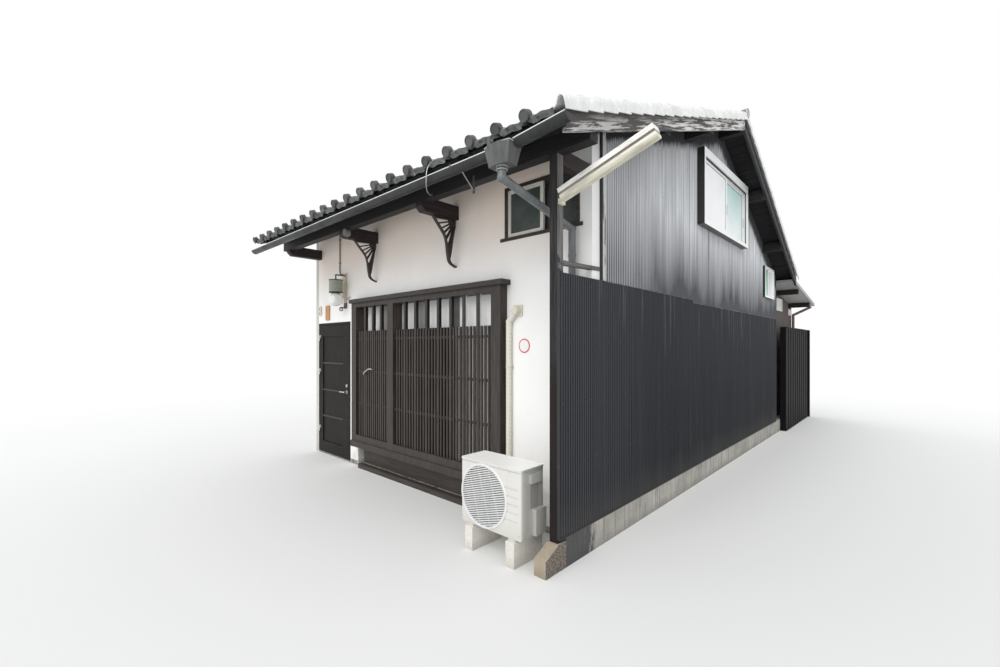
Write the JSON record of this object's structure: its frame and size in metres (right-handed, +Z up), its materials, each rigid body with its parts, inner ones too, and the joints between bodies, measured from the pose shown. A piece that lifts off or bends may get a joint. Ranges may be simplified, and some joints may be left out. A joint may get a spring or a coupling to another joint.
{
  "type": "machiya townhouse",
  "caption": "End house of a row: street front with a timber lattice window, entry door and tiled gable roof, a black corrugated side wall, iron eave brackets and a rear lean-to.",
  "frame": {"origin": "on the ground, plumb under the front of the eave purlin and the outer face of the side cladding, on the edge of the corner stone", "axes": "+Z up, -Y towards the street, +X out of the clad side wall"},
  "size_m": [5.751, 10.4, 4.7168],
  "materials": {
    "concrete": "rough",
    "stone": "rough",
    "plaster": "matt",
    "rear_plaster": "matt",
    "black_sheet": "satin",
    "faded_sheet": "matt",
    "dark_timber": "matt",
    "grey_timber": "weathered",
    "roof_timber": "matt",
    "pale_timber": "matt",
    "iron": "painted",
    "pantile": "satin",
    "rake_tile": "satin",
    "white_board": "weathered paint",
    "black_board": "paint",
    "gutter_grey": "satin",
    "pipe_grey": "satin",
    "door_brown": "satin",
    "metal": "satin",
    "frosted": "frosted",
    "white_frame": "satin",
    "glass": "clear",
    "bronze": "satin",
    "globe": "opal",
    "lamp_cream": "aged",
    "ivory": "satin",
    "pale_block": "rough",
    "tape": "matt",
    "wing_board": "matt",
    "wing_roof": "matt"
  },
  "bodies": {
    "house": {"footing": "concrete", "corner_stone": "stone", "ground_floor": "concrete", "upper_floor": "pale_timber", "front_wall_pier": "plaster", "front_wall_right": "plaster", "front_wall_over_door": "plaster", "front_wall_upper": "plaster", "side_wall": "rear_plaster", "party_wall": "rear_plaster", "rear_wall": "rear_plaster", "lower_cladding": "black_sheet", "upper_cladding": "faded_sheet", "wing_wall": "dark_timber", "wing_rail": "grey_timber", "corner_post": "dark_timber", "edge_trim": "grey_timber", "eave_purlin": "dark_timber", "eave_arms": "dark_timber", "bracket_left": "iron", "bracket_right": "iron", "roof_purlins": "roof_timber", "rafters": "roof_timber", "roof_boards_front": "roof_timber", "roof_boards_rear": "roof_timber", "roof_tiles_front": "pantile", "roof_tiles_rear": "pantile", "ridge_tiles": "pantile", "rake_tiles": "rake_tile", "bargeboard_front": "white_board", "bargeboard_rear": "black_board", "gutter": "gutter_grey", "rain_hopper": "pipe_grey", "downpipe": "pipe_grey", "door_frame": "door_brown", "lattice_frame": "dark_timber", "lattice_slats": "dark_timber", "lattice_cap": "dark_timber", "lattice_base": "dark_timber", "lattice_panes": "frosted", "front_window": "dark_timber", "front_sash": "white_frame", "side_window": "white_frame", "small_window": "white_frame", "window_glass": "glass", "wall_lamp": "bronze", "lamp_globe": "globe", "street_lamp": "lamp_cream", "ac_unit": "ivory", "ac_grille": "ivory", "ac_blocks": "pale_block", "ac_pipe": "tape", "rear_wing_walls": "wing_board", "rear_wing_roof": "wing_roof", "rear_wing_window": "white_frame", "wing_pipe": "wing_board", "yard_fence": "black_sheet"},
    "door": {"entry_door": "door_brown"},
    "lever": {"door_lever": "metal"}
  },
  "joints": [
    {"name": "door_swing", "type": "hinge", "parent": "house", "child": "door", "pos_m": [-4.8925, 0.492, 1], "axis": [0, 0, -1], "range_deg": [0, 90]},
    {"name": "lever_turn", "type": "hinge", "parent": "door", "child": "lever", "pos_m": [-4.04, 0.45, 0.99], "axis": [0, -1, 0], "range_deg": [0, 40], "stiffness_Nm_per_rad": 1, "springref_deg": -34.38}
  ]
}
